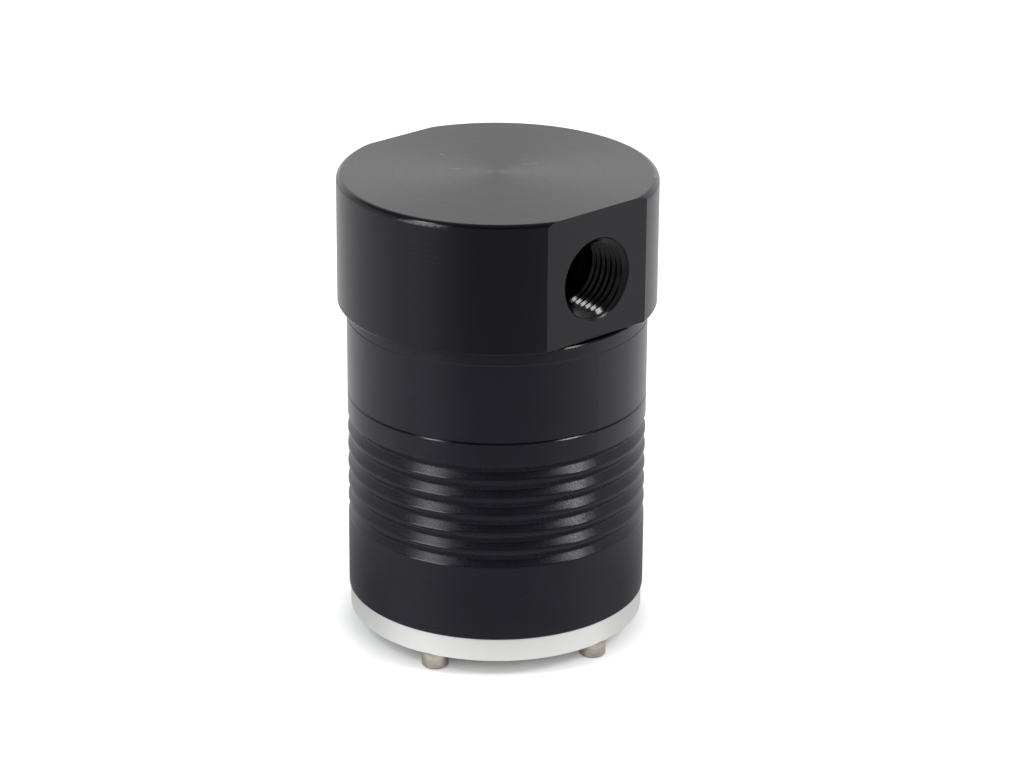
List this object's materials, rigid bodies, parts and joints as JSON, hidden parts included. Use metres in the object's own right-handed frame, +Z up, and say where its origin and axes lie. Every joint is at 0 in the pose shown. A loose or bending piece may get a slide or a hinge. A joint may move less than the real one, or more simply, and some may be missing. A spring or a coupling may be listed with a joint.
{
  "type": "remote oil filter",
  "caption": "Remote oil filter: a black turned head with side pipe ports, a grooved screw-together body, a bright base plate on cap screws, and a pleated element with a bypass valve.",
  "frame": {"origin": "bottom centre, on the plane of the five screw heads that the filter stands on", "axes": "+Z up the filter's axis to the head's top, +X out of the outlet port, the inlet port faces -X"},
  "size_m": [0.0778, 0.0826, 0.1239],
  "materials": {
    "black_anodised": "satin black anodised, fine turning marks",
    "silver_anodised": "satin clear anodised",
    "screw_steel": "plain stainless, slightly warm",
    "black_rubber": "matt nitrile",
    "zinc_steel": "bright zinc plated",
    "spring_steel": "drawn wire",
    "filter_sheet": "resin-bonded filter sheet",
    "valve_brass": "turned brass"
  },
  "bodies": {
    "housing": {"head": "black_anodised", "upper_body": "black_anodised", "lower_body": "black_anodised", "base_plate": "silver_anodised", "cover_screws": "screw_steel", "head_o_ring": "black_rubber", "body_o_ring": "black_rubber", "base_o_ring": "black_rubber", "outlet_tube": "zinc_steel", "element_top_seal": "black_rubber", "element_top_cap": "zinc_steel", "element_bottom_cap": "zinc_steel", "element_pleats": "filter_sheet", "element_centre_tube": "zinc_steel", "element_outer_screen": "zinc_steel", "spring_cup": "zinc_steel", "element_spring": "spring_steel", "bypass_seat": "valve_brass", "bypass_spring": "spring_steel", "bypass_cage": "zinc_steel"},
    "bypass_valve": {"bypass_poppet": "valve_brass"}
  },
  "joints": [
    {"name": "bypass_lift", "type": "slide", "parent": "housing", "child": "bypass_valve", "axis": [0, 0, 1], "range_m": [0, 0.004], "stiffness_N_per_m": 2500, "springref_m": -0.0056, "deforming": ["bypass_spring"]}
  ]
}
